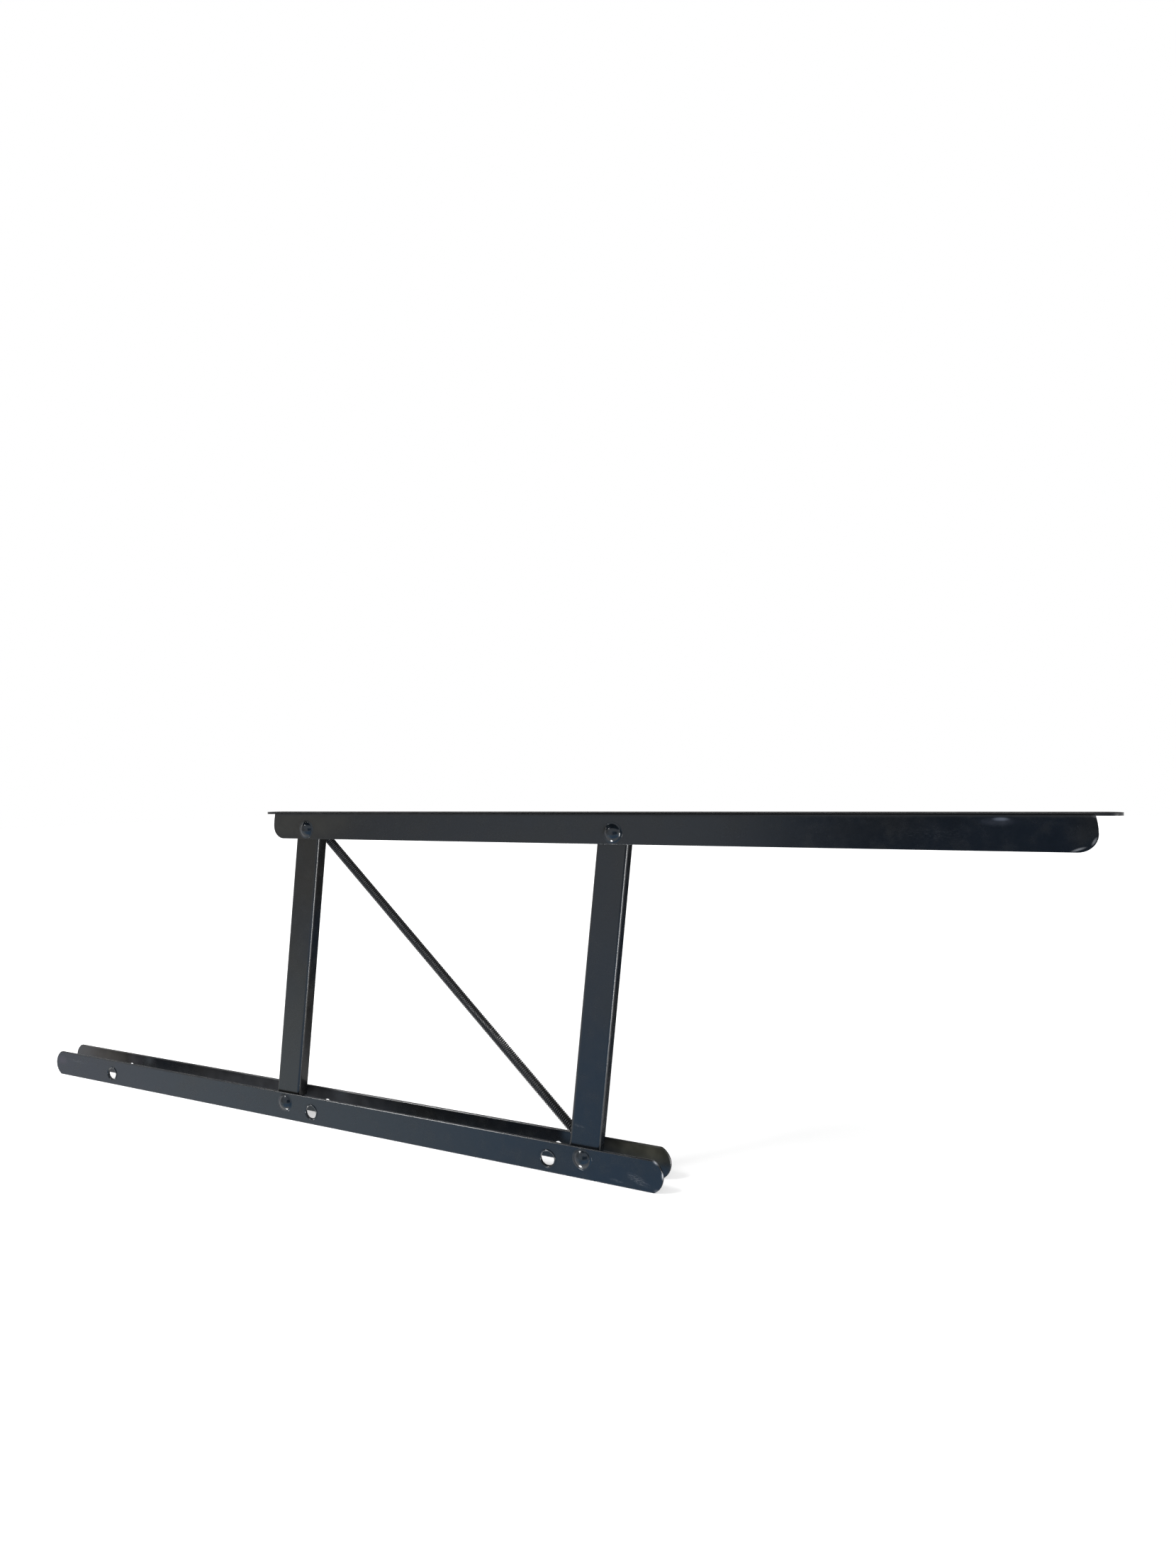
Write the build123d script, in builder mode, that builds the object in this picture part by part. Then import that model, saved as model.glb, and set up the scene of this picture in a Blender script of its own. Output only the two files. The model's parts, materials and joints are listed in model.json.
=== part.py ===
"""Lift top table mechanism: one hand of a spring-assisted parallel linkage.

Two flat bars stand side by side and are screwed to the inside of a table's frame.
Two equal links turn between them on rivets and carry a channel that holds the table's
top. The links, the bars and the channel make a parallelogram, so the top stays level
while it rises. An extension spring runs across the parallelogram, from the right base
pivot to the left top pivot, and helps to lift.

Millimetres. +X runs along the bars towards the raised top's long end, +Z is up and +Y
points at the frame board that the mechanism is screwed to. The origin is the screw hole
next to the right base pivot, on the mounting face. The mechanism is modelled raised.
"""

import os
from math import cos, hypot, radians, sin, sqrt

from build123d import *

# Sheet metal of the rails
RAIL_HEIGHT = 16.0
RAIL_DEPTH = 15.5
RAIL_SHEET = 1.2
EDGE_SOFTENING = 0.3

# Linkage
PIVOT_SPACING = 196.0
LINK_LENGTH = 168.0
LEAN_DEG = 6.4
PIVOT_FROM_OPEN_EDGE = 5.8

# Base bars, measured from the right base pivot
BASE_RIGHT_REACH = 43.0
BASE_LEFT_REACH = 408.0
BAR_END_RADIUS = 9.0
BAR_CORNER_RADIUS = 1.5

# Screw positions, measured from the right base pivot
NEAR_SCREW_OFFSET = 19.5
MIDDLE_SCREW_OFFSET = 176.0
FAR_SCREW_OFFSET = 350.0
SCREW_DROP = 3.0
SCREW_HOLE_RADIUS = 2.4
ACCESS_HOLE_RADIUS = 3.9

# Top channel, measured from its own pivots
TOP_RIGHT_REACH = 206.0
TOP_LEFT_REACH = 25.0
OUTER_BEND = 1.6
INNER_BEND = 0.4
FREE_CORNER_RADIUS = 7.5
END_DRAW_IN = 1.2
TAB_LENGTH = 10.0
TAB_CORNER_RADIUS = 5.5
TAB_HOLE_FROM_END = 5.2

# Links
LINK_SHEET = 1.2
LINK_DEPTH = 6.9
LINK_OUTER_BEND = 1.6
LINK_INNER_BEND = 0.4
FLANGE_STOP = 4.0
TURN_CLEARANCE = 0.5
STOP_CLEARANCE = 0.1

# Rivets, washers and sleeves
SHANK_RADIUS = 2.5
HEAD_RADIUS = 4.4
HEAD_HEIGHT = 2.4
HEAD_RIM = 0.5
TAIL_FLARE = 0.9
TAIL_RECESS = 0.05
SEAT_CLEARANCE = 0.05
RUNNING_CLEARANCE = 0.08
WASHER_RADIUS = 4.5
FRONT_WASHER = 0.45
REAR_WASHER = 0.5
END_PLAY = 0.05
SLEEVE_RADIUS = 3.5

# Spring
SPRING_DIAMETER = 5.2
WIRE_DIAMETER = 0.9
NECK_DIAMETER = 0.8
WIRE_FLATS = 8
LOOP_CLEARANCE = 0.15
COIL_FROM_PIN = 7.5

# Places worked out from the sizes above
lean = radians(LEAN_DEG)
link_up = Vector(sin(lean), 0, cos(lean))
link_across = Vector(cos(lean), 0, -sin(lean))

base_right = Vector(NEAR_SCREW_OFFSET, 0, SCREW_DROP)
base_left = base_right - Vector(PIVOT_SPACING, 0, 0)
top_right = base_right + link_up * LINK_LENGTH
top_left = base_left + link_up * LINK_LENGTH

base_high = base_right.Z + PIVOT_FROM_OPEN_EDGE
base_low = base_high - RAIL_HEIGHT
base_middle = base_high - RAIL_HEIGHT / 2
top_low = top_right.Z - PIVOT_FROM_OPEN_EDGE
top_high = top_low + RAIL_HEIGHT
roof_height = RAIL_HEIGHT - PIVOT_FROM_OPEN_EDGE - RAIL_SHEET

bar_left = base_right.X - BASE_LEFT_REACH
bar_right = base_right.X + BASE_RIGHT_REACH
channel_left = top_left.X - TOP_LEFT_REACH
channel_right = top_right.X + TOP_RIGHT_REACH

near_screw = (base_right.X - NEAR_SCREW_OFFSET, base_right.Z - SCREW_DROP)
middle_screw = (base_right.X - MIDDLE_SCREW_OFFSET, base_right.Z - SCREW_DROP)
far_screw = (base_right.X - FAR_SCREW_OFFSET, base_right.Z - SCREW_DROP)
screw_places = (near_screw, middle_screw, far_screw)

link_width = 2 * (roof_height - TURN_CLEARANCE)
front_inside = -RAIL_DEPTH + RAIL_SHEET
rear_inside = -RAIL_SHEET
link_front = front_inside + FRONT_WASHER + END_PLAY
link_web_back = link_front + LINK_SHEET
rear_washer_front = link_web_back + END_PLAY
sleeve_front = rear_washer_front + REAR_WASHER
link_back = link_front + LINK_DEPTH
spring_depth = (link_back + rear_inside) / 2
seat_hole_radius = SHANK_RADIUS + SEAT_CLEARANCE
running_hole_radius = SHANK_RADIUS + RUNNING_CLEARANCE

os.makedirs("parts", exist_ok=True)


def save(solid, name):
    """Label a finished piece and write it to its own file."""
    solid.label = name
    export_step(solid, f"parts/{name}.step")


def front_plane(depth):
    """A plane facing the front, with X to the right and Z up, at a depth."""
    return Plane(origin=(0, depth, 0), x_dir=(1, 0, 0), z_dir=(0, -1, 0))


def front_face_plane(pivot, depth):
    """A plane on a pivot's axis that faces the front, where a hole starts."""
    return Plane(origin=(pivot.X, depth, pivot.Z), x_dir=(1, 0, 0), z_dir=(0, -1, 0))


def rear_face_plane(pivot):
    """A plane on a pivot's axis that faces the mounting board."""
    return Plane(origin=(pivot.X, 0, pivot.Z), x_dir=(1, 0, 0), z_dir=(0, 1, 0))


def bar_outline():
    """The outline of a base bar: long straight edges and arched ends."""
    arch = BAR_END_RADIUS - sqrt(BAR_END_RADIUS**2 - (RAIL_HEIGHT / 2) ** 2)
    left, right = bar_left + arch, bar_right - arch
    with BuildLine() as outline:
        Line((left, base_low), (right, base_low))
        ThreePointArc((right, base_low), (bar_right, base_middle), (right, base_high))
        Line((right, base_high), (left, base_high))
        ThreePointArc((left, base_high), (bar_left, base_middle), (left, base_low))
    return outline.edges()


def rivet_tail_holes(pivots):
    """Countersunk holes in the mounting face, where the rivets' tails sit flush."""
    with Locations([rear_face_plane(pivot) for pivot in pivots]):
        CounterSinkHole(
            radius=seat_hole_radius,
            counter_sink_radius=seat_hole_radius + TAIL_FLARE,
            depth=RAIL_SHEET,
            counter_sink_angle=90,
        )


# Front base bar: shank holes at the pivots and large holes for a screwdriver
with BuildPart() as base_front_bar:
    with BuildSketch(front_plane(front_inside)) as front_bar_face:
        make_face(bar_outline())
        fillet(front_bar_face.vertices(), BAR_CORNER_RADIUS)
        with Locations((base_right.X, base_right.Z), (base_left.X, base_left.Z)):
            Circle(seat_hole_radius, mode=Mode.SUBTRACT)
        with Locations(screw_places):
            Circle(ACCESS_HOLE_RADIUS, mode=Mode.SUBTRACT)
    extrude(amount=RAIL_SHEET)
    rim = base_front_bar.faces().sort_by(Axis.Y)[0].outer_wire().edges()
    chamfer(rim, EDGE_SOFTENING)
save(base_front_bar.part, "base_front_bar")

# Rear base bar: screw holes opposite the large ones, flush seats for the rivet tails
with BuildPart() as base_rear_bar:
    with BuildSketch(front_plane(0)) as rear_bar_face:
        make_face(bar_outline())
        fillet(rear_bar_face.vertices(), BAR_CORNER_RADIUS)
        with Locations(screw_places):
            Circle(SCREW_HOLE_RADIUS, mode=Mode.SUBTRACT)
    extrude(amount=RAIL_SHEET)
    rim = base_rear_bar.faces().sort_by(Axis.Y)[0].outer_wire().edges()
    chamfer(rim, EDGE_SOFTENING)
    rivet_tail_holes((base_right, base_left))
save(base_rear_bar.part, "base_rear_bar")

# Top channel: one folded sheet, open below, with bulged wall ends and a screw tab at each
# end of its web
with BuildPart() as top_channel:
    with BuildSketch(Plane.YZ.offset(channel_left)) as channel_section:
        with Locations((-RAIL_DEPTH / 2, top_low + RAIL_HEIGHT / 2)):
            Rectangle(RAIL_DEPTH, RAIL_HEIGHT)
        fillet(channel_section.vertices().group_by(Axis.Y)[-1], OUTER_BEND)
        with Locations((-RAIL_DEPTH / 2, top_low - RAIL_SHEET / 2)):
            RectangleRounded(
                RAIL_DEPTH - 2 * RAIL_SHEET,
                2 * RAIL_HEIGHT - RAIL_SHEET,
                INNER_BEND,
                mode=Mode.SUBTRACT,
            )
    extrude(amount=channel_right - channel_left)
    with BuildSketch(front_plane(0)):
        with BuildLine():
            for wall_end, inwards in ((channel_left, 1), (channel_right, -1)):
                widest = (wall_end, top_low + FREE_CORNER_RADIUS)
                at_web = (wall_end + inwards * END_DRAW_IN, top_high)
                at_free_edge = (wall_end + inwards * FREE_CORNER_RADIUS, top_low)
                TangentArc(widest, at_web, tangent=(0, 1))
                TangentArc(widest, at_free_edge, tangent=(0, -1))
            for inset, height in ((END_DRAW_IN, top_high), (FREE_CORNER_RADIUS, top_low)):
                Line((channel_left + inset, height), (channel_right - inset, height))
        make_face()
    extrude(amount=RAIL_DEPTH, mode=Mode.INTERSECT)
    with BuildSketch(Plane.XY.offset(top_high - RAIL_SHEET)) as tab_face:
        with Locations(((channel_left + channel_right) / 2, -RAIL_DEPTH / 2)):
            Rectangle(
                channel_right - channel_left + 2 * TAB_LENGTH,
                RAIL_DEPTH - 2 * OUTER_BEND,
            )
        fillet(tab_face.vertices(), TAB_CORNER_RADIUS)
    extrude(amount=RAIL_SHEET)
    tab_reach = TAB_LENGTH - TAB_HOLE_FROM_END
    with Locations(
        (channel_left - tab_reach, -RAIL_DEPTH / 2, top_high),
        (channel_right + tab_reach, -RAIL_DEPTH / 2, top_high),
    ):
        Hole(SCREW_HOLE_RADIUS, depth=RAIL_SHEET)
    with Locations([front_face_plane(pivot, -RAIL_DEPTH) for pivot in (top_right, top_left)]):
        Hole(seat_hole_radius, depth=RAIL_SHEET)
    rivet_tail_holes((top_right, top_left))
save(top_channel.part, "top_channel")


def build_link(pivot, name):
    """A channel-shaped link: its web faces the front and its flanges stop short.

    The base end is round. At the top end the corner that swings under the channel's
    web is round too, and the other is square: it meets that web when the top is fully
    raised, which is the stop.
    """
    half_width = link_width / 2
    foot = Vector(pivot.X, link_front, pivot.Z)
    stop_reach = (roof_height - STOP_CLEARANCE - half_width * sin(lean)) / cos(lean)
    web_plane = Plane(
        origin=foot + Vector(0, LINK_SHEET, 0), x_dir=link_across, z_dir=(0, -1, 0)
    )
    section_plane = Plane(
        origin=foot + link_up * FLANGE_STOP, x_dir=link_across, z_dir=link_up
    )
    with BuildPart() as link:
        with BuildSketch(section_plane) as link_section:
            with Locations((0, LINK_DEPTH / 2)):
                Rectangle(link_width, LINK_DEPTH)
            fillet(link_section.vertices().group_by(Axis.Y)[0], LINK_OUTER_BEND)
            with Locations((0, LINK_DEPTH)):
                RectangleRounded(
                    link_width - 2 * LINK_SHEET,
                    2 * (LINK_DEPTH - LINK_SHEET),
                    LINK_INNER_BEND,
                    mode=Mode.SUBTRACT,
                )
        extrude(amount=LINK_LENGTH - 2 * FLANGE_STOP)
        with BuildSketch(web_plane):
            Circle(half_width)
            with Locations((0, FLANGE_STOP / 2)):
                Rectangle(link_width, FLANGE_STOP)
            with Locations((0, FLANGE_STOP + half_width / 2)):
                Rectangle(link_width, half_width, mode=Mode.SUBTRACT)
        extrude(amount=LINK_SHEET)
        with BuildSketch(web_plane):
            with Locations((0, LINK_LENGTH)):
                Circle(half_width)
            with Locations((0, LINK_LENGTH - FLANGE_STOP / 2)):
                Rectangle(link_width, FLANGE_STOP)
            with Locations((-half_width / 2, LINK_LENGTH + stop_reach / 2)):
                Rectangle(half_width, stop_reach)
            with Locations((0, LINK_LENGTH + (stop_reach - FLANGE_STOP) / 2)):
                Rectangle(link_width, stop_reach + FLANGE_STOP, mode=Mode.INTERSECT)
        extrude(amount=LINK_SHEET)
        ends = [foot, foot + link_up * LINK_LENGTH]
        with Locations([front_face_plane(end, link_front) for end in ends]):
            Hole(running_hole_radius, depth=LINK_SHEET)
    save(link.part, name)


build_link(base_right, "right_link")
build_link(base_left, "left_link")


def build_rivets(pair, name):
    """Two domed rivets through both rails, their tails spread flush into the rear one."""
    head_face = -RAIL_DEPTH
    apex = (0, head_face - HEAD_HEIGHT)
    tail_face = -TAIL_RECESS
    with BuildPart() as rivets:
        for pivot in pair:
            with BuildSketch(Plane(origin=(pivot.X, 0, pivot.Z))):
                with BuildLine():
                    TangentArc(apex, (HEAD_RADIUS, head_face - HEAD_RIM), tangent=(1, 0))
                    Polyline(
                        (HEAD_RADIUS, head_face - HEAD_RIM),
                        (HEAD_RADIUS, head_face),
                        (SHANK_RADIUS, head_face),
                        (SHANK_RADIUS, tail_face - TAIL_FLARE),
                        (SHANK_RADIUS + TAIL_FLARE, tail_face),
                        (0, tail_face),
                        apex,
                    )
                make_face()
            revolve(axis=Axis((pivot.X, 0, pivot.Z), (0, 1, 0)))
    save(rivets.part, name)


def build_ring(pivot, front, length, outer_radius, name):
    """A washer or sleeve on a rivet's shank."""
    with BuildPart() as ring:
        with BuildSketch(front_face_plane(pivot, front + length)):
            Circle(outer_radius)
            Circle(running_hole_radius, mode=Mode.SUBTRACT)
        extrude(amount=length)
    save(ring.part, name)


build_rivets((base_right, base_left), "base_rivets")
build_rivets((top_right, top_left), "top_rivets")

pivots = {
    "base_right": base_right,
    "base_left": base_left,
    "top_right": top_right,
    "top_left": top_left,
}
for place, pivot in pivots.items():
    build_ring(pivot, front_inside, FRONT_WASHER, WASHER_RADIUS, f"front_washer_{place}")
    build_ring(pivot, rear_washer_front, REAR_WASHER, WASHER_RADIUS, f"rear_washer_{place}")
    build_ring(pivot, sleeve_front, rear_inside - sleeve_front, SLEEVE_RADIUS, f"sleeve_{place}")

# Spring: a close-wound coil, drawn as a tube, with a wire loop round a sleeve at each end
wire_radius = WIRE_DIAMETER / 2
loop_radius = SLEEVE_RADIUS + LOOP_CLEARANCE + wire_radius
coil_mean_radius = SPRING_DIAMETER / 2 - wire_radius
neck_start = sqrt(loop_radius**2 - coil_mean_radius**2)
low_pin = Vector(base_right.X, spring_depth, base_right.Z)
high_pin = Vector(top_left.X, spring_depth, top_left.Z)
pin_distance = hypot(high_pin.X - low_pin.X, high_pin.Z - low_pin.Z)
spring_line = (high_pin - low_pin).normalized()
loop_side = spring_line.cross(Vector(0, 1, 0))
neck_side = -loop_side * coil_mean_radius
with BuildPart() as lift_spring:
    with BuildSketch(Plane(origin=low_pin + spring_line * COIL_FROM_PIN, z_dir=spring_line)):
        Circle(SPRING_DIAMETER / 2)
        Circle(SPRING_DIAMETER / 2 - WIRE_DIAMETER, mode=Mode.SUBTRACT)
    extrude(amount=pin_distance - 2 * COIL_FROM_PIN)
    for pin, along in ((low_pin, spring_line), (high_pin, -spring_line)):
        with BuildSketch(Plane(origin=pin + along * neck_start + neck_side, z_dir=along)):
            Circle(NECK_DIAMETER / 2)
        extrude(amount=COIL_FROM_PIN - neck_start + WIRE_DIAMETER)
        with BuildSketch(Plane(origin=pin, x_dir=spring_line, z_dir=loop_side)):
            with Locations((loop_radius, 0)):
                RegularPolygon(wire_radius, side_count=WIRE_FLATS)
        revolve(axis=Axis(pin, (0, 1, 0)))
save(lift_spring.part, "lift_spring")

print("right base pivot", tuple(round(v, 3) for v in base_right))
print("left base pivot", tuple(round(v, 3) for v in base_left))
print("right top pivot", tuple(round(v, 3) for v in top_right))
print("left top pivot", tuple(round(v, 3) for v in top_left))
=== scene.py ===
"""Lift top table mechanism: paint, wire and steel around the packed model, with its stage.

Lengths are metres, in the frame of the packed model: +X along the bars, +Z up, and +Y
towards the board that the mechanism is screwed to.
"""

import json
import math

import bmesh
import bpy
from bpy.props import FloatProperty, FloatVectorProperty, PointerProperty
from mathutils import Matrix, Vector


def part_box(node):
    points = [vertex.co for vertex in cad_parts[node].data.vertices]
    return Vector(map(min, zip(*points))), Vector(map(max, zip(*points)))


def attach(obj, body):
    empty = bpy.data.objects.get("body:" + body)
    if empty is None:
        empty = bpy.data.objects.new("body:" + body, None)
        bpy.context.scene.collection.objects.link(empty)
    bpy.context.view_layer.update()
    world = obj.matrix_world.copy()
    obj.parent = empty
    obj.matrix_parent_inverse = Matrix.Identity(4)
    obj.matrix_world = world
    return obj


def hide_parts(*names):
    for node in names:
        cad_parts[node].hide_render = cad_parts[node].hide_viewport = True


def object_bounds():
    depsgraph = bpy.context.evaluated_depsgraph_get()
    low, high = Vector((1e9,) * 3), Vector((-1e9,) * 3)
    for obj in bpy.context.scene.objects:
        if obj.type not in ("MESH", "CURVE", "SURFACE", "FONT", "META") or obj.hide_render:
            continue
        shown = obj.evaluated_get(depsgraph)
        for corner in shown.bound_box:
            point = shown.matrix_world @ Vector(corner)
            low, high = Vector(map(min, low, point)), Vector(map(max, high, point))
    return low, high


bl_info = {
    "name": "Lift Top Table Mechanism",
    "version": (1, 0, 0),
    "blender": (4, 5, 0),
    "location": "3D View > Sidebar > Mechanism",
    "description": "Finishes a spring-assisted lift linkage and sets it on a pale stage",
    "category": "Object",
}

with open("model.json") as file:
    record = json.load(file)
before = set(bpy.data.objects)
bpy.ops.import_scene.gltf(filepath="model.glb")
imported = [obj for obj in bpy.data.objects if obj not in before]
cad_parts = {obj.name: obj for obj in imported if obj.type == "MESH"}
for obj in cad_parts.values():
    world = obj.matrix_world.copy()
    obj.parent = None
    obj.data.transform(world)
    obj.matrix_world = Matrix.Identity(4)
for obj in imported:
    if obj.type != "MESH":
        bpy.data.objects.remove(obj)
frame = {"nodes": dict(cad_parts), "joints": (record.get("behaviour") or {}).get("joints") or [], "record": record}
cad_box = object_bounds()

MM = 0.001
SHEET = 1.2 * MM
TAB_REACH = 10 * MM

pivot_of = {joint["name"]: Vector(joint["pos_m"]) for joint in frame["joints"]}
base_right = pivot_of["lift"]
base_left = pivot_of["left_link_turn"]
top_right = pivot_of["top_rail_turn"]
top_left = base_left + top_right - base_right

front_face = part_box("base_front_bar")[0].y
bar_low, bar_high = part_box("base_front_bar")
channel_low, channel_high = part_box("top_channel")
spring_low, spring_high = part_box("lift_spring")
spring_depth = (spring_low.y + spring_high.y) / 2
coil_width = spring_high.y - spring_low.y
sleeve_low, sleeve_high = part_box("sleeve_base_right")
sleeve_radius = (sleeve_high.x - sleeve_low.x) / 2
rivet_low, rivet_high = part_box("base_rivets")
head_radius = (rivet_high.z - rivet_low.z) / 2

holes = [mount for mount in frame["record"]["mounts"] if mount["name"].endswith("access_hole")]
hole_radius = holes[0]["dims"]["r_mm"] * MM
hole_centres = [(mount["pos_m"][0], mount["pos_m"][2]) for mount in holes]


# Sizes and colours that a user would change

def colour_setting(name, description, default):
    return FloatVectorProperty(
        name=name, description=description, subtype="COLOR", size=3, min=0, max=1, default=default
    )


def factor_setting(name, description, default):
    return FloatProperty(
        name=name, description=description, subtype="FACTOR", min=0, max=1, default=default
    )


def length_setting(name, description, default, least=0):
    return FloatProperty(
        name=name, description=description, unit="LENGTH", min=least, default=default
    )


def power_setting(name, description, default):
    return FloatProperty(name=name, description=description, unit="POWER", min=0, default=default)


class PaintSettings(bpy.types.PropertyGroup):
    """Gloss black paint of the rails and links."""

    colour: colour_setting(
        "Paint colour", "Colour of the full coat, a cool black", (0.005, 0.008, 0.013)
    )
    faded: colour_setting(
        "Thin paint", "Colour where the coat is thin, a warmer black", (0.009, 0.0088, 0.008)
    )
    # also, made 3.2 times lighter, the colour of the glints, which are painted highlights
    bare_and_glint: colour_setting("Rubbed edge", "Colour of a rubbed edge or scuff", (0.20, 0.21, 0.23))
    roughness: factor_setting("Roughness", "Roughness of the clean coat", 0.24)
    rub: factor_setting("Edge rub", "How far the sheets' edges are rubbed", 0.05)
    dust: factor_setting("Dust", "How strongly the dust shows", 0.16)
    edge_radius: length_setting("Edge radius", "How far the coat rounds a sheet's edge", 0.35 * MM)
    peel: length_setting("Orange peel", "Height of the fine dimples in the coat", 0.0025 * MM)
    sag: length_setting("Sag", "Height of the slow waves in the sheet under the coat", 0.05 * MM)


class RivetSettings(bpy.types.PropertyGroup):
    """Painted rivets at the four pivots."""

    colour: colour_setting("Head colour", "Colour of the paint on the heads", (0.006, 0.009, 0.013))
    roughness: factor_setting("Roughness", "Roughness of the painted heads", 0.11)
    pool: length_setting("Pooled paint", "How far the paint pools out from a head", 1.2 * MM)
    lip: length_setting("Hole lip", "Width of the raised lip round a screwdriver hole", 0.85 * MM)
    steel: colour_setting("Steel colour", "Zinc on the washers and sleeves", (0.42, 0.43, 0.45))


class SpringSettings(bpy.types.PropertyGroup):
    """Close-wound extension spring with a loop at each end."""

    wire: length_setting("Wire", "Diameter of the wire", 1.1 * MM, least=0.1 * MM)
    pitch: length_setting("Pitch", "From one turn to the next", 1.16 * MM, least=0.1 * MM)
    loop_play: length_setting("Loop play", "Between the end loop and its sleeve", 0.15 * MM)
    coil_start: length_setting("Coil start", "From the pin's axis to the first turn", 7.5 * MM)
    colour: colour_setting("Wire colour", "Colour of the painted wire", (0.009, 0.009, 0.010))
    roughness: factor_setting("Roughness", "Roughness of the painted wire", 0.34)


class StageSettings(bpy.types.PropertyGroup):
    """Pale floor, lamps and camera."""

    floor: colour_setting("Floor colour", "Colour of the floor", (0.86, 0.86, 0.86))
    floor_width: length_setting("Floor width", "Side of the square floor", 9.0, least=1)
    ambient: FloatProperty(
        name="Ambient", description="Level of the light from all sides", min=0, default=0.5,
    )
    key: power_setting("Key lamp", "Power of the lamp up on the left", 9.0)
    side: power_setting("Side lamp", "Power of the tall lamp on the right", 9.0)
    low: power_setting("Low lamp", "Power of the lamp that shines up from under the floor", 7.0)
    lens: FloatProperty(
        name="Lens", description="Focal length of the camera, in millimetres on a 36 mm film side",
        min=1, default=16.806,
    )
    eye: FloatVectorProperty(
        name="Camera place", description="Where the camera stands", subtype="TRANSLATION",
        size=3, default=(0.16426, -0.36130, 0.19305),
    )
    yaw: FloatProperty(
        name="Camera yaw", description="Turn to the left", subtype="ANGLE",
        default=math.radians(21.858),
    )
    pitch: FloatProperty(
        name="Camera pitch", description="Tilt upwards", subtype="ANGLE",
        default=math.radians(0.25),
    )
    roll: FloatProperty(
        name="Camera roll", description="Turn about the line of sight", subtype="ANGLE",
        default=math.radians(-0.745),
    )


# Small helpers

def metres(*lengths):
    """Lengths given in millimetres, in metres."""
    return tuple(length * MM for length in lengths)


def rgba(colour, gain=1.0):
    """A shader's colour from a plain one, made lighter or darker by the gain."""
    return (*(min(1.0, gain * c) for c in colour), 1.0)


def add_object(name, data):
    """A new object in the scene."""
    item = bpy.data.objects.new(name, data)
    bpy.context.scene.collection.objects.link(item)
    return item


def mesh_from(shape, name):
    """A mesh from this shape, with its faces turned outwards."""
    mesh = bpy.data.meshes.new(name)
    bmesh.ops.recalc_face_normals(shape, faces=shape.faces)
    shape.to_mesh(mesh)
    shape.free()
    return mesh


class Shader:
    """A material's node tree, with short calls to add and join its nodes."""

    def __init__(self, name):
        self.material = bpy.data.materials.new(name)
        self.material.use_nodes = True
        self.tree = self.material.node_tree
        self.surface = self.tree.nodes["Principled BSDF"]
        self.place = self.add("ShaderNodeTexCoord").outputs["Object"]

    def add(self, kind, **settings):
        node = self.tree.nodes.new(kind)
        for key, value in settings.items():
            setattr(node, key, value)
        return node

    def join(self, source, target):
        self.tree.links.new(source, target)

    def feed(self, socket, value):
        """Put a plain value on a socket, or join an output to it."""
        if isinstance(value, bpy.types.NodeSocket):
            self.join(value, socket)
        else:
            socket.default_value = value

    def show(self, output):
        """Use this output as the whole surface, in place of the one that it came with."""
        self.tree.nodes.remove(self.surface)
        self.join(output, self.tree.nodes["Material Output"].inputs["Surface"])

    def noise(self, scale, detail=3.0, roughness=0.55, stretch=(1, 1, 1)):
        """Noise over the object's own space, in features of about 1 / scale metres."""
        mapping = self.add("ShaderNodeMapping")
        mapping.inputs["Scale"].default_value = stretch
        self.join(self.place, mapping.inputs["Vector"])
        node = self.add("ShaderNodeTexNoise")
        node.inputs["Scale"].default_value = scale
        node.inputs["Detail"].default_value = detail
        node.inputs["Roughness"].default_value = roughness
        self.join(mapping.outputs["Vector"], node.inputs["Vector"])
        return node.outputs["Fac"]

    def range(self, value, low, high, to_low=0.0, to_high=1.0):
        """Map low..high to to_low..to_high, smoothly and clamped."""
        node = self.add("ShaderNodeMapRange", interpolation_type="SMOOTHSTEP")
        self.feed(node.inputs["Value"], value)
        node.inputs["From Min"].default_value = low
        node.inputs["From Max"].default_value = high
        node.inputs["To Min"].default_value = to_low
        node.inputs["To Max"].default_value = to_high
        return node.outputs["Result"]

    def math(self, operation, first, second, clamp=False):
        node = self.add("ShaderNodeMath", operation=operation, use_clamp=clamp)
        self.feed(node.inputs[0], first)
        self.feed(node.inputs[1], second)
        return node.outputs[0]

    def mix(self, factor, first, second):
        """Mix two colours."""
        node = self.add("ShaderNodeMix", data_type="RGBA")
        self.feed(node.inputs["Factor"], factor)
        self.feed(node.inputs["A"], first)
        self.feed(node.inputs["B"], second)
        return node.outputs["Result"]

    def spot(self, centre, spread, turn=0.0):
        """1 at centre, falling to 0 at an ellipsoid with these half widths."""
        mapping = self.add("ShaderNodeMapping", vector_type="TEXTURE")
        mapping.inputs["Location"].default_value = centre
        mapping.inputs["Rotation"].default_value = (0, turn, 0)
        mapping.inputs["Scale"].default_value = spread
        self.join(self.place, mapping.inputs["Vector"])
        length = self.add("ShaderNodeVectorMath", operation="LENGTH")
        self.join(mapping.outputs["Vector"], length.inputs[0])
        return self.range(length.outputs["Value"], 1.0, 0.2)

    def bump(self, height, distance, normal=None):
        node = self.add("ShaderNodeBump")
        node.inputs["Strength"].default_value = 1.0
        node.inputs["Distance"].default_value = distance
        self.join(height, node.inputs["Height"])
        if normal is not None:
            self.join(normal, node.inputs["Normal"])
        return node.outputs["Normal"]

    def rounded_edges(self, radius):
        """The normal with edges rounded, and a mask of those edges."""
        bevel = self.add("ShaderNodeBevel", samples=6)
        bevel.inputs["Radius"].default_value = radius
        geometry = self.add("ShaderNodeNewGeometry")
        facing = self.add("ShaderNodeVectorMath", operation="DOT_PRODUCT")
        self.join(bevel.outputs["Normal"], facing.inputs[0])
        self.join(geometry.outputs["Normal"], facing.inputs[1])
        return bevel.outputs["Normal"], self.range(facing.outputs["Value"], 0.995, 0.9)


# Coats and plating

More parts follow.
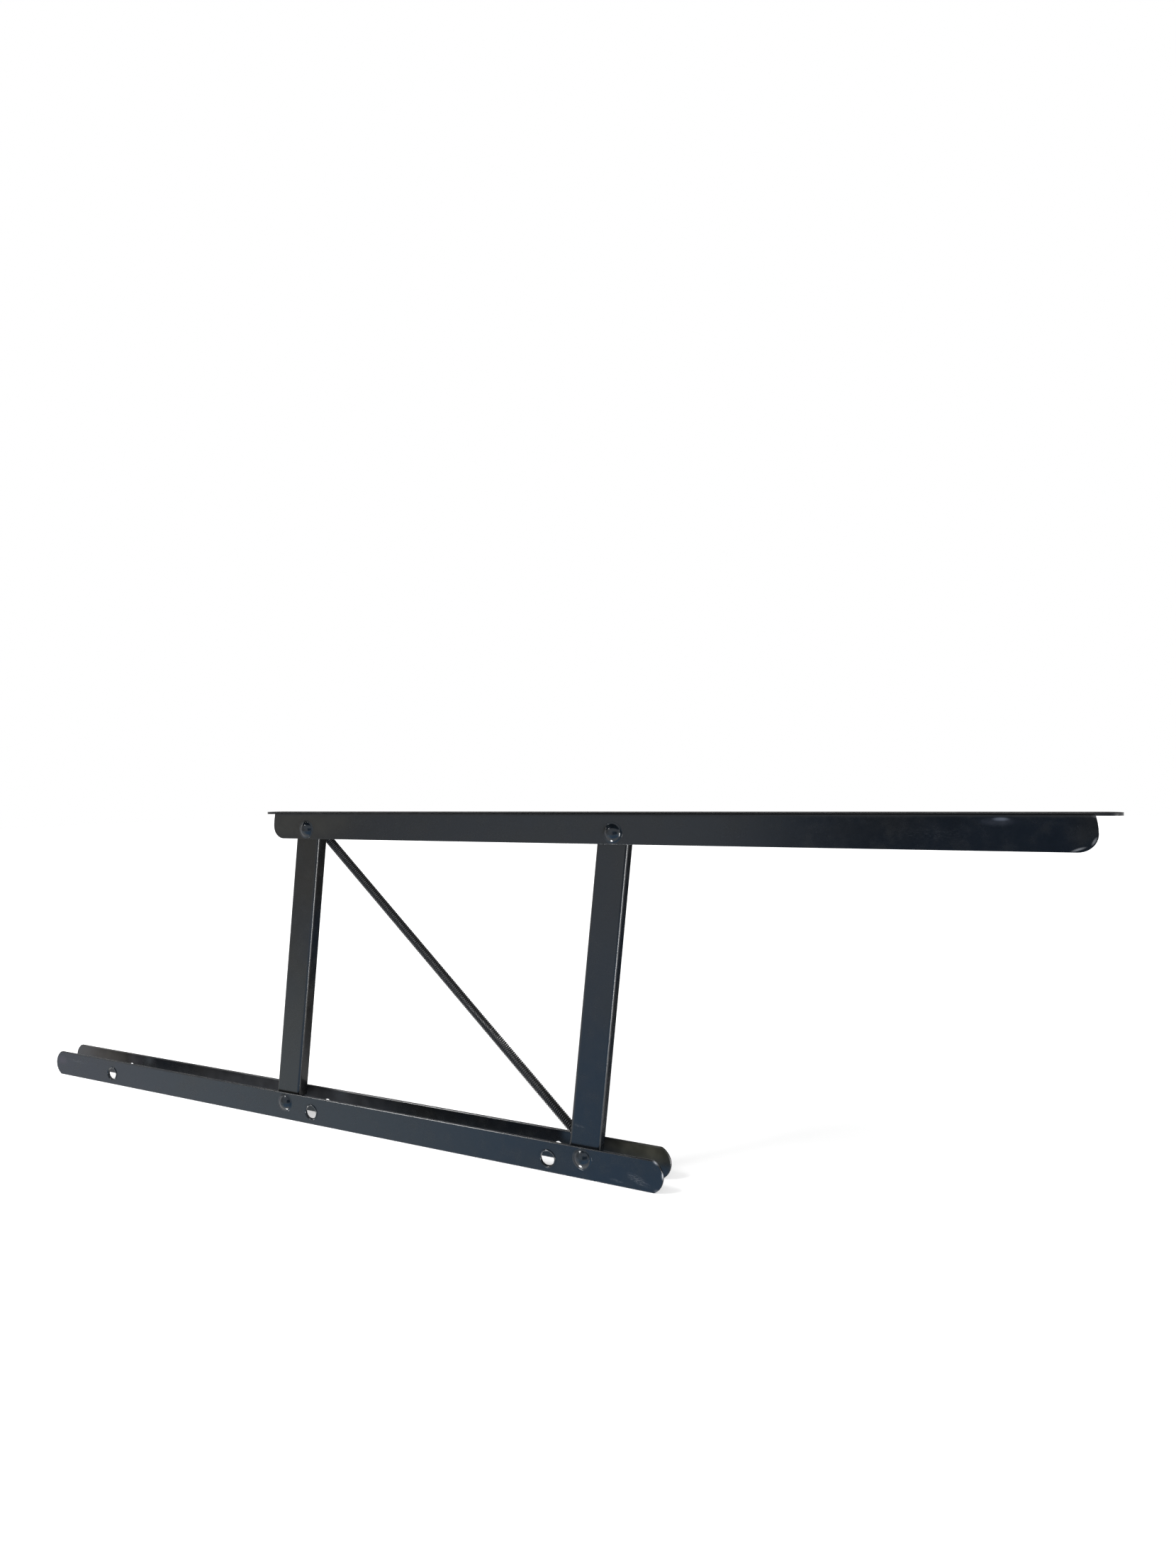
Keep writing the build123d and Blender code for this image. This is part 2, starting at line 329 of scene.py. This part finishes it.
EVEN_WARMTH = 0.3
GLINT_OFF_EDGE = 0.6


def paint(name, settings, warmth, scuffs=(), glints=(), tint_patches=()):
    """Gloss black paint: mottled coat, orange peel, dust, rubbed edges and placed marks.

    More warmth gives more thin paint. A scuff is (centre, half widths, turn, strength) and
    has scratches in it. A glint is the same without scratches, a painted highlight in a bright
    steel colour, and strongest along an edge. A patch of tint, in the last list, is (centre, half
    widths, tint, strength), cloudy, and roughens the coat; most are painted light or shade.
    """
    shader = Shader(name)
    surface = shader.surface
    cloud = shader.noise(14)
    mottle = shader.noise(160, detail=4, roughness=0.6)
    handled = shader.noise(55, detail=5, roughness=0.7)

    thin = shader.range(shader.math("ADD", cloud, warmth - EVEN_WARMTH), 0.36, 0.7)
    colour = shader.mix(thin, rgba(settings.colour), rgba(settings.faded))
    flecks = shader.range(mottle, 0.46, 0.85, 0.0, 0.4)
    colour = shader.mix(flecks, colour, rgba(settings.faded, gain=1.4))
    rough = shader.range(mottle, 0.3, 0.75, settings.roughness - 0.03, settings.roughness + 0.05)
    rough = shader.math("ADD", rough, shader.range(handled, 0.5, 0.75, 0.0, 0.05))

    specks = shader.add("ShaderNodeTexVoronoi")
    specks.inputs["Scale"].default_value = 420
    shader.join(shader.place, specks.inputs["Vector"])
    dust = shader.math(
        "MULTIPLY", shader.range(specks.outputs["Distance"], 0.09, 0.03),
        shader.range(handled, 0.5, 0.62),
    )
    dust = shader.math("MULTIPLY", dust, settings.dust)

    rounded, edges = shader.rounded_edges(settings.edge_radius)
    rub = shader.math("MULTIPLY", edges, shader.range(handled, 0.42, 0.7, 0.0, settings.rub))
    wear_and_glint = shader.math("MAXIMUM", rub, dust)
    for centre, spread, turn, strength in scuffs:
        scratch = shader.noise(520, detail=5, roughness=0.75, stretch=(1, 1, 3))
        spot = shader.spot(centre, spread, turn)
        patch = shader.math("MULTIPLY", spot, shader.range(scratch, 0.42, 0.72))
        wear_and_glint = shader.math("MAXIMUM", wear_and_glint, shader.math("MULTIPLY", patch, strength))
    # glints: painted highlights, bright patches in a steel colour, strongest along the edges
    for centre, spread, turn, strength in glints:
        spot = shader.spot(centre, spread, turn)
        reach = shader.math("ADD", edges, GLINT_OFF_EDGE, clamp=True)
        patch = shader.math("MULTIPLY", spot, reach)
        patch = shader.math("MULTIPLY", patch, strength, clamp=True)
        wear_and_glint = shader.math("MAXIMUM", wear_and_glint, patch)
    # worn paint and painted highlights: the higher the mask, the lighter the steel colour
    worn_and_glint = shader.mix(
        shader.range(wear_and_glint, 0.5, 1.0), rgba(settings.bare_and_glint), rgba(settings.bare_and_glint, gain=3.2)
    )
    colour = shader.mix(wear_and_glint, colour, worn_and_glint)
    rough = shader.math("ADD", rough, shader.math("MULTIPLY", wear_and_glint, 0.2), clamp=True)
    # patches of tint, most of them painted reflections, painted light or painted shade; each also roughens the
    # coat
    for centre, spread, tint, strength in tint_patches:
        cloudy = shader.range(mottle, 0.2, 0.8, 0.6, 1.0)
        film = shader.math("MULTIPLY", shader.spot(centre, spread), cloudy)
        film = shader.math("MULTIPLY", film, strength)
        colour = shader.mix(film, colour, rgba(tint))
        rough = shader.math("ADD", rough, shader.math("MULTIPLY", film, 0.25), clamp=True)

    shader.join(colour, surface.inputs["Base Color"])
    shader.join(rough, surface.inputs["Roughness"])
    surface.inputs["IOR"].default_value = 1.5
    dimples = shader.bump(shader.noise(1100, detail=2), settings.peel, normal=rounded)
    waves = shader.bump(shader.noise(30, detail=1), settings.sag, normal=dimples)
    shader.join(waves, surface.inputs["Normal"])
    return shader.material


def head_paint(settings):
    """Glossier paint, pooled on the rivets' heads."""
    shader = Shader("rivet_paint")
    surface = shader.surface
    shade = shader.noise(260)
    colour = shader.mix(
        shader.range(shade, 0.4, 0.7), rgba(settings.colour), rgba(settings.colour, gain=1.9)
    )
    rough = shader.range(shade, 0.3, 0.8, settings.roughness, settings.roughness + 0.06)
    shader.join(colour, surface.inputs["Base Color"])
    shader.join(rough, surface.inputs["Roughness"])
    surface.inputs["IOR"].default_value = 1.5
    ripple = shader.bump(shader.noise(420, detail=2), 0.012 * MM)
    shader.join(ripple, surface.inputs["Normal"])
    return shader.material


def zinc(settings):
    """Dull zinc with fine turning marks."""
    shader = Shader("zinc")
    surface = shader.surface
    marks = shader.noise(500, detail=4, stretch=(1, 5, 1))
    colour = shader.mix(
        shader.range(marks, 0.3, 0.7), rgba(settings.steel, gain=0.6), rgba(settings.steel)
    )
    shader.join(colour, surface.inputs["Base Color"])
    shader.join(shader.range(marks, 0.3, 0.7, 0.3, 0.5), surface.inputs["Roughness"])
    surface.inputs["Metallic"].default_value = 1.0
    shader.join(shader.bump(marks, 0.01 * MM), surface.inputs["Normal"])
    return shader.material


def wire_paint(settings):
    """Thin black paint on wire, lighter in patches."""
    shader = Shader("spring_paint")
    surface = shader.surface
    shade = shader.noise(90, detail=4, roughness=0.7)
    colour = shader.mix(
        shader.range(shade, 0.5, 0.8), rgba(settings.colour), rgba(settings.colour, gain=2.2)
    )
    rough = shader.range(shade, 0.3, 0.8, settings.roughness, settings.roughness + 0.1)
    shader.join(colour, surface.inputs["Base Color"])
    shader.join(rough, surface.inputs["Roughness"])
    surface.inputs["IOR"].default_value = 1.45
    shader.join(shader.bump(shader.noise(1500, detail=2), 0.003 * MM), surface.inputs["Normal"])
    return shader.material


def dress(node, material):
    """Give a packed node this material only."""
    mesh = frame["nodes"][node].data
    mesh.materials.clear()
    mesh.materials.append(material)


# Rails

def on_front(x, z):
    """A place on the front faces."""
    return (x, front_face, z)


def on_rear(x, z):
    """A place on the inner face of the rear bar."""
    return (x, -SHEET, z)


class MECHANISM_OT_paint_rails(bpy.types.Operator):
    """Paint the two base bars and the top channel"""

    bl_idname = "mechanism.paint_rails"
    bl_label = "Paint Rails"

    def execute(self, context):
        settings = context.scene.mechanism_paint
        near_end = bar_high.x
        far_end = bar_low.x
        violet = (0.032, 0.028, 0.045)
        dress("base_front_bar", paint(
            "front_bar_paint", settings, warmth=0.22,
            scuffs=[
                # a worn patch and a scratch at the near end, and a streak at the far end
                (on_front(near_end - 13 * MM, -2.1 * MM), metres(8, 3, 2.6), 0.35, 0.5),
                (on_front(near_end - 24 * MM, -4.5 * MM), metres(5, 3, 1.0), 0.1, 0.35),
                (on_front(far_end + 22 * MM, 4 * MM), metres(14, 3, 1.4), 0.05, 0.16),
            ],
            glints=[
                # painted highlights round the near end, from its top to its foot
                (on_front(near_end - 3.7 * MM, 8.3 * MM), metres(2.6, 2, 1.4), 0.6, 1.0),
                (on_front(near_end - 0.4 * MM, 2.1 * MM), metres(0.9, 2, 2.6), 0.0, 1.0),
                (on_front(near_end - 3 * MM, -6 * MM), metres(2.5, 2, 1.5), 0.0, 0.5),
            ],
            tint_patches=[(on_front(far_end + 6 * MM, 3 * MM), metres(7, 3, 4), violet, 0.8)],
        ))

        ochre = (0.043, 0.041, 0.026)
        tan = (0.070, 0.064, 0.058)
        lilac = (0.036, 0.034, 0.044)
        grey = (0.034, 0.035, 0.040)
        dress("base_rear_bar", paint(
            "rear_bar_paint", settings, warmth=0.36,
            tint_patches=[
                # painted reflected light on the inner face: pale patches, warm at the near end and lighter towards
                # the far end
                (on_rear(near_end - 17 * MM, 5 * MM), metres(26, 2, 9), ochre, 0.9),
                (on_rear(far_end + 26 * MM, 5 * MM), metres(44, 2, 9), tan, 0.8),
                (on_rear(far_end + 62 * MM, 6 * MM), metres(12, 2, 6), lilac, 0.5),
                (on_rear(base_left.x - 10 * MM, 5 * MM), metres(120, 2, 9), grey, 0.8),
            ],
        ))

        wall_end = channel_high.x - TAB_REACH
        top = channel_high.z
        foot = channel_low.z
        pale_blue = (0.12, 0.145, 0.20)
        slate = (0.020, 0.024, 0.036)
        umber = (0.024, 0.022, 0.016)
        bend_shade = (0.003, 0.004, 0.006)
        dress("top_channel", paint(
            "channel_paint", settings, warmth=0.17,
            scuffs=[(on_front(wall_end - 60 * MM, top - 9 * MM), metres(26, 3, 5), 0.0, 0.05)],
            glints=[
                # painted highlights round the wall's right end, from its foot to its top
                (on_front(wall_end - 7.0 * MM, foot + 1.3 * MM), metres(3.6, 2, 0.7), -0.35, 1.0),
                (on_front(wall_end - 1.6 * MM, foot + 4.6 * MM), metres(0.7, 2, 2.4), 0.5, 0.9),
                (on_front(wall_end - 0.5 * MM, top - 1.2 * MM), metres(2.5, 2, 1), 0.0, 0.8),
            ],
            tint_patches=[
                # painted light and shade: a pale spot and its dull rim, a painted reflection; painted warm light
                # on the left end; painted shade along the bend at the top
                (on_front(209.9 * MM, top - 2.6 * MM), metres(4.0, 2, 1.1), pale_blue, 0.9),
                (on_front(209 * MM, top - 3.5 * MM), metres(9, 2, 2.6), slate, 0.6),
                (on_front(channel_low.x + 26 * MM, foot + 9 * MM), metres(60, 2, 14), umber, 0.7),
                (on_front(-60 * MM, top - 0.3 * MM), metres(900, 4, 2.4), bend_shade, 1.0),
            ],
        ))
        return {"FINISHED"}


class MECHANISM_OT_paint_links(bpy.types.Operator):
    """Paint the two links"""

    bl_idname = "mechanism.paint_links"
    bl_label = "Paint Links"

    def execute(self, context):
        settings = context.scene.mechanism_paint
        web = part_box("right_link")[0].y
        foot = (base_right.x - 2.4 * MM, web, base_right.z + 16 * MM)
        scratch = (foot, metres(4, 3, 0.7), 0.12, 0.55)
        dress("right_link", paint("right_link_paint", settings, warmth=0.24, scuffs=[scratch]))
        dress("left_link", paint("left_link_paint", settings, warmth=0.34))
        return {"FINISHED"}


# Rivets, washers and sleeves

class MECHANISM_OT_finish_rivets(bpy.types.Operator):
    """Paint the rivets and plate the washers and sleeves"""

    bl_idname = "mechanism.finish_rivets"
    bl_label = "Finish Rivets"

    def execute(self, context):
        settings = context.scene.mechanism_rivets
        painted = head_paint(settings)
        plated = zinc(settings)
        for node in frame["nodes"]:
            if node.endswith("_rivets"):
                dress(node, painted)
            elif "washer" in node or "sleeve" in node:
                dress(node, plated)
        return {"FINISHED"}


def quadratic(start, middle, end, steps):
    """Points on a parabola's arc that leaves and arrives along its two tangents."""
    return [
        tuple(
            (1 - t) ** 2 * start[i] + 2 * t * (1 - t) * middle[i] + t**2 * end[i] for i in range(2)
        )
        for t in (k / steps for k in range(steps + 1))
    ]


def turned_rings(name, centres, profile, segments=64):
    """Closed rings turned about the Y axis through each centre, on the front face.

    The profile is (radius, height) pairs from the inside out. The strip that closes it runs
    inside the metal, and is flat.
    """
    shape = bmesh.new()
    for x, z in centres:
        loops = [
            [
                shape.verts.new((
                    x + radius * math.cos(2 * math.pi * k / segments),
                    front_face - height,
                    z + radius * math.sin(2 * math.pi * k / segments),
                ))
                for k in range(segments)
            ]
            for radius, height in profile
        ]
        for inner, outer in zip(loops, loops[1:] + loops[:1]):
            for k in range(segments):
                after = (k + 1) % segments
                face = shape.faces.new((inner[k], outer[k], outer[after], inner[after]))
                face.smooth = outer is not loops[0]
    return add_object(name, mesh_from(shape, name))


class MECHANISM_OT_pool_paint(bpy.types.Operator):
    """Pool paint round the rivets' heads and on the burrs of the screwdriver holes"""

    bl_idname = "mechanism.pool_paint"
    bl_label = "Pool Paint"

    def execute(self, context):
        settings = context.scene.mechanism_rivets
        sunk = 0.01 * MM
        height = front_face - rivet_low.y
        ball = (head_radius**2 + height**2) / (2 * height)

        def dome(radius):
            """Height of the dome above the front face, this far from its axis."""
            return math.sqrt(ball**2 - radius**2) - (ball - height)

        touch = head_radius - 0.55 * MM
        slope = touch / math.sqrt(ball**2 - touch**2)
        pool = quadratic(
            (touch, dome(touch)), (touch + dome(touch) / slope, 2 * sunk),
            (head_radius + settings.pool, -sunk), 7,
        )
        inside = touch - 0.2 * MM
        fillet = [(inside, -0.03 * MM), (inside, dome(inside) - 0.05 * MM), *pool]

        lip = settings.lip
        rim = hole_radius - 0.02 * MM
        shoulder = 0.48 * lip
        crest = 0.50 * lip
        rise = quadratic(
            (rim, 0), (hole_radius + 0.15 * lip, shoulder), (hole_radius + 0.68 * lip, crest), 8
        )
        fall = quadratic(
            (hole_radius + 0.70 * lip, crest), (hole_radius + 0.88 * lip, shoulder),
            (hole_radius + lip, -sunk), 4,
        )
        burr = [(rim, -0.4 * MM), *rise, *fall]

        painted = head_paint(settings)
        base_heads = [(pivot.x, pivot.z) for pivot in (base_right, base_left)]
        top_heads = [(pivot.x, pivot.z) for pivot in (top_right, top_left)]
        for name, body, centres, profile in (
            ("base_head_paint", "base", base_heads, fillet),
            ("top_head_paint", "top_rail", top_heads, fillet),
            ("hole_burrs", "base", hole_centres, burr),
        ):
            ring = turned_rings(name, centres, profile)
            ring.data.materials.append(painted)
            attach(ring, body)
        return {"FINISHED"}


# Spring

def smooth_path(points, steps):
    """Points along a smooth line through these points."""
    path = []
    for i in range(len(points) - 1):
        before = points[max(i - 1, 0)]
        start, end = points[i], points[i + 1]
        after = points[min(i + 2, len(points) - 1)]
        for k in range(steps):
            t = k / steps
            path.append(
                0.5 * (
                    2 * start + (end - before) * t
                    + (2 * before - 5 * start + 4 * end - after) * t**2
                    + (3 * start - before - 3 * end + after) * t**3
                )
            )
    path.append(points[-1])
    return path


def wire_mesh(name, path, radius, sides):
    """A round wire along a path, with flat cut ends."""
    shape = bmesh.new()
    tangents = [
        (path[min(i + 1, len(path) - 1)] - path[max(i - 1, 0)]).normalized()
        for i in range(len(path))
    ]
    across = tangents[0].orthogonal().normalized()
    rings = []
    for place, tangent in zip(path, tangents):
        across = (across - tangent * across.dot(tangent)).normalized()
        upward = tangent.cross(across)
        rings.append([
            shape.verts.new(
                place
                + radius * math.cos(2 * math.pi * k / sides) * across
                + radius * math.sin(2 * math.pi * k / sides) * upward
            )
            for k in range(sides)
        ])
    for first, second in zip(rings, rings[1:]):
        for k in range(sides):
            after = (k + 1) % sides
            face = shape.faces.new((first[k], first[after], second[after], second[k]))
            face.smooth = True
    shape.faces.new(reversed(rings[0]))
    shape.faces.new(rings[-1])
    return mesh_from(shape, name)


class MECHANISM_OT_wind_spring(bpy.types.Operator):
    """Wind the close-wound spring and bend a loop at each end"""

    bl_idname = "mechanism.wind_spring"
    bl_label = "Wind Spring"

    def execute(self, context):
        settings = context.scene.mechanism_spring
        low_pin = Vector((base_right.x, spring_depth, base_right.z))
        high_pin = Vector((top_left.x, spring_depth, top_left.z))
        along = (high_pin - low_pin).normalized()
        depth = Vector((0, 1, 0))
        side = depth.cross(along)
        radius = settings.wire / 2
        coil_radius = coil_width / 2 - radius
        loop_radius = sleeve_radius + settings.loop_play + radius
        start = settings.coil_start
        coil_length = (high_pin - low_pin).length - 2 * start
        turn_steps = 20
        coil_steps = round(coil_length / settings.pitch) * turn_steps

        def end_loop(pin, inward):
            """The loop round a sleeve, then the wire's way to the first turn."""
            gap = math.radians(28)
            arc_steps = 36
            angles = [
                gap + (2 * math.pi - 2 * gap) * k / arc_steps for k in range(arc_steps + 1)
            ]
            arc = [pin + loop_radius * (math.cos(a) * inward + math.sin(a) * side) for a in angles]
            way = [
                arc[-2],
                arc[-1],
                pin + inward * (start - 2.3 * radius) - side * 0.45 * coil_radius,
                pin + inward * (start - 1.2 * radius) + side * 0.35 * coil_radius
                - depth * 0.55 * coil_radius,
                pin + inward * start + side * coil_radius,
            ]
            return arc[:-2] + smooth_path(way, 6)[:-1]

        coil = []
        for k in range(coil_steps + 1):
            angle = 2 * math.pi * k / turn_steps
            forward = start + coil_length * k / coil_steps
            coil.append(
                low_pin + along * forward
                + coil_radius * (math.cos(angle) * side + math.sin(angle) * depth)
            )
        path = end_loop(low_pin, along) + coil + end_loop(high_pin, -along)[::-1]
        mesh = wire_mesh("spring_wire", path, radius, sides=8)
        mesh.materials.append(wire_paint(settings))
        spring = add_object("spring_wire", mesh)
        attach(spring, "spring")
        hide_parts("lift_spring")
        return {"FINISHED"}


# Stage

def upright(x, y, z):
    """Corners of an upright card at one y, from two values of x and of z."""
    return [(x[0], y, z[0]), (x[1], y, z[0]), (x[1], y, z[1]), (x[0], y, z[1])]


def level(x, y, z):
    """Corners of a level card at one z, from two values of x and of y."""
    return [(x[0], y[0], z), (x[1], y[0], z), (x[1], y[1], z), (x[0], y[1], z)]


def flat_mesh(name, corners, material):
    """A mesh of one face with four corners."""
    mesh = bpy.data.meshes.new(name)
    mesh.from_pydata(corners, [], [(0, 1, 2, 3)])
    mesh.materials.append(material)
    return mesh


def floor_material(colour):
    """A pale floor that looks white to the camera and keeps a shadow.

    Its own light grows with distance, where the lamps' light falls off.
    """
    shader = Shader("floor")
    diffuse = shader.add("ShaderNodeBsdfDiffuse")
    diffuse.inputs["Color"].default_value = rgba(colour)
    glow = shader.add("ShaderNodeEmission")
    seen = shader.add("ShaderNodeLightPath").outputs
    shown = shader.math("MAXIMUM", seen["Is Camera Ray"], seen["Is Transmission Ray"])
    away = shader.add("ShaderNodeVectorMath", operation="LENGTH")
    shader.join(shader.place, away.inputs[0])
    brightness = shader.range(away.outputs["Value"], 0.25, 1.0, 0.5, 1.0)
    shader.join(shader.math("MULTIPLY", shown, brightness), glow.inputs["Strength"])
    total = shader.add("ShaderNodeAddShader")
    shader.join(diffuse.outputs[0], total.inputs[0])
    shader.join(glow.outputs[0], total.inputs[1])
    shader.show(total.outputs[0])
    return shader.material


def lay_floor(settings):
    """The floor at the model's lowest point. In gloss the white world shows in its place."""
    half = settings.floor_width / 2
    corners = level((-half, half), (-half, half), cad_box[0][2])
    floor = add_object("floor", flat_mesh("floor", corners, floor_material(settings.floor)))
    floor.visible_glossy = False
    floor.visible_shadow = False


def white_world(ambient):
    """White to the camera and in gloss, and a plain level for the light it gives."""
    world = bpy.data.worlds.new("stage_world")
    world.use_nodes = True
    tree = world.node_tree
    background = tree.nodes["Background"]
    background.inputs["Color"].default_value = (1, 1, 1, 1)
    seen = tree.nodes.new("ShaderNodeLightPath").outputs

    def larger(first, second):
        node = tree.nodes.new("ShaderNodeMath")
        node.operation = "MAXIMUM"
        tree.links.new(first, node.inputs[0])
        tree.links.new(second, node.inputs[1])
        return node.outputs[0]

    shown = larger(seen["Is Camera Ray"], seen["Is Glossy Ray"])
    shown = larger(shown, seen["Is Transmission Ray"])
    strength = tree.nodes.new("ShaderNodeMapRange")
    tree.links.new(shown, strength.inputs["Value"])
    strength.inputs["To Min"].default_value = ambient
    strength.inputs["To Max"].default_value = 1.0
    tree.links.new(strength.outputs["Result"], background.inputs["Strength"])
    bpy.context.scene.world = world


def softbox(name, place, target, size, power):
    """A soft rectangular lamp that the camera doesn't see."""
    lamp = bpy.data.lights.new(name, "AREA")
    lamp.shape = "RECTANGLE"
    lamp.size, lamp.size_y = size
    lamp.energy = power
    box = add_object(name, lamp)
    box.location = place
    box.rotation_euler = (target - Vector(place)).to_track_quat("-Z", "Y").to_euler()
    box.visible_camera = False


def hang_lamps(settings):
    """A lamp up on the left, a tall one on the right, and one that shines through the floor."""
    middle = (Vector(cad_box[0]) + Vector(cad_box[1])) / 2
    softbox("key_lamp", (-0.62, -0.46, 0.82), middle, (0.34, 0.34), settings.key)
    softbox("side_lamp", (1.00, -0.40, -0.22), middle, (0.15, 0.46), settings.side)
    softbox("low_lamp", (-0.42, -0.08, -1.05), middle, (0.40, 0.24), settings.low)


def hidden_card(name, corners, material, shades=False):
    """A card that shows only in gloss, and that keeps lamp light off if it shades."""
    card = add_object(name, flat_mesh(name, corners, material))
    card.visible_camera = False
    card.visible_diffuse = False
    card.visible_shadow = shades
    card.visible_transmission = False


def black_felt():
    """Felt of the black flags."""
    shader = Shader("black_felt")
    shader.surface.inputs["Base Color"].default_value = (0.008, 0.008, 0.008, 1)
    shader.surface.inputs["Roughness"].default_value = 1.0
    shader.surface.inputs["IOR"].default_value = 1.0
    return shader.material


def graded_cloth():
    """Backdrop that glows: warm and cool greys high up, brighter and bluer low down.

    A dark patch lies at the height of the top channel, on the right.
    """
    warm_grey = (0.52, 0.50, 0.46, 1)
    cool_grey = (0.74, 0.78, 0.82, 1)
    violet_white = (0.80, 0.83, 0.94, 1)
    blue_white = (0.90, 1.04, 1.14, 1)
    blue = (0.34, 0.61, 0.98, 1)
    night = (0.004, 0.012, 0.03, 1)

    shader = Shader("graded_cloth")
    axes = shader.add("ShaderNodeSeparateXYZ")
    shader.join(shader.place, axes.inputs[0])
    along, up = axes.outputs["X"], axes.outputs["Z"]
    high = shader.mix(shader.range(along, -0.95, -0.35), warm_grey, cool_grey)
    low = shader.mix(shader.range(along, -1.60, -1.15), violet_white, blue_white)
    low = shader.mix(shader.range(along, -0.80, -0.25), low, blue)
    cloth = shader.mix(shader.range(up, -0.05, -0.35), high, low)
    shade = shader.math(
        "MULTIPLY", shader.range(along, -0.08, 0.12), shader.range(along, 0.95, 0.72)
    )
    shade = shader.math("MULTIPLY", shade, shader.range(up, -0.18, -0.02))
    shade = shader.math("MULTIPLY", shade, shader.range(up, 0.42, 0.28))
    cloth = shader.mix(shade, cloth, night)
    glow = shader.add("ShaderNodeEmission")
    shader.join(cloth, glow.inputs["Color"])
    shader.show(glow.outputs[0])
    return shader.material


def hang_cards():
    """The backdrop behind the camera, and the black flags."""
    hidden_card("backdrop", upright((-2.4, 1.3), -0.80, (-1.1, 0.9)), graded_cloth())
    felt = black_felt()
    # darkens the links' flanges
    hidden_card("back_flag", upright((0.06, 0.68), 0.60, (-0.38, 0.13)), felt)
    # these two darken the bend along the top channel's upper edge
    above_channel = (channel_high.z + 0.5 * MM, 0.42)
    hidden_card("top_flag", upright((-1.3, 1.4), 0.50, above_channel), felt)
    hidden_card("ceiling_flag", level((-1.3, 1.4), (-0.80, 0.50), 0.90), felt)
    # keeps the key lamp off the front of the top channel
    hidden_card("key_flag", level((-0.30, 0.25), (-0.098, -0.045), 0.25), felt, shades=True)


def place_camera(settings):
    """The camera, turned from level and facing +Y by yaw, pitch and roll."""
    view = bpy.data.cameras.new("camera")
    view.lens = settings.lens
    view.sensor_width = 36
    view.sensor_fit = "AUTO"
    view.clip_start = 0.01
    eye = add_object("camera", view)
    turn = (
        Matrix.Rotation(settings.yaw, 4, "Z")
        @ Matrix.Rotation(math.pi / 2 + settings.pitch, 4, "X")
        @ Matrix.Rotation(settings.roll, 4, "Z")
    )
    eye.matrix_world = Matrix.Translation(settings.eye) @ turn
    bpy.context.scene.camera = eye


class MECHANISM_OT_build_stage(bpy.types.Operator):
    """Lay the floor, hang the lamps and place the camera"""

    bl_idname = "mechanism.build_stage"
    bl_label = "Build Stage"

    def execute(self, context):
        settings = context.scene.mechanism_stage
        lay_floor(settings)
        white_world(settings.ambient)
        hang_lamps(settings)
        hang_cards()
        place_camera(settings)
        context.scene.view_settings.view_transform = "Standard"
        return {"FINISHED"}


class VIEW3D_PT_mechanism(bpy.types.Panel):
    """The mechanism's settings and steps"""

    bl_label = "Lift Top Table Mechanism"
    bl_space_type = "VIEW_3D"
    bl_region_type = "UI"
    bl_category = "Mechanism"

    def draw(self, context):
        for group in SETTINGS:
            box = self.layout.box()
            box.label(text=SETTINGS[group].__doc__)
            settings = getattr(context.scene, group)
            for field in SETTINGS[group].__annotations__:
                box.prop(settings, field)
        for step in STEPS:
            self.layout.operator(step.bl_idname)


SETTINGS = {
    "mechanism_paint": PaintSettings,
    "mechanism_rivets": RivetSettings,
    "mechanism_spring": SpringSettings,
    "mechanism_stage": StageSettings,
}
STEPS = (
    MECHANISM_OT_paint_rails,
    MECHANISM_OT_paint_links,
    MECHANISM_OT_finish_rivets,
    MECHANISM_OT_pool_paint,
    MECHANISM_OT_wind_spring,
    MECHANISM_OT_build_stage,
)
CLASSES = (*SETTINGS.values(), *STEPS, VIEW3D_PT_mechanism)


def register():
    for cls in CLASSES:
        bpy.utils.register_class(cls)
    for name, group in SETTINGS.items():
        setattr(bpy.types.Scene, name, PointerProperty(type=group))


def unregister():
    for name in SETTINGS:
        delattr(bpy.types.Scene, name)
    for cls in reversed(CLASSES):
        bpy.utils.unregister_class(cls)


def main():
    register()
    bpy.ops.mechanism.paint_rails()
    bpy.ops.mechanism.paint_links()
    bpy.ops.mechanism.finish_rivets()
    bpy.ops.mechanism.pool_paint()
    bpy.ops.mechanism.wind_spring()
    bpy.ops.mechanism.build_stage()


if __name__ == "__main__":
    main()
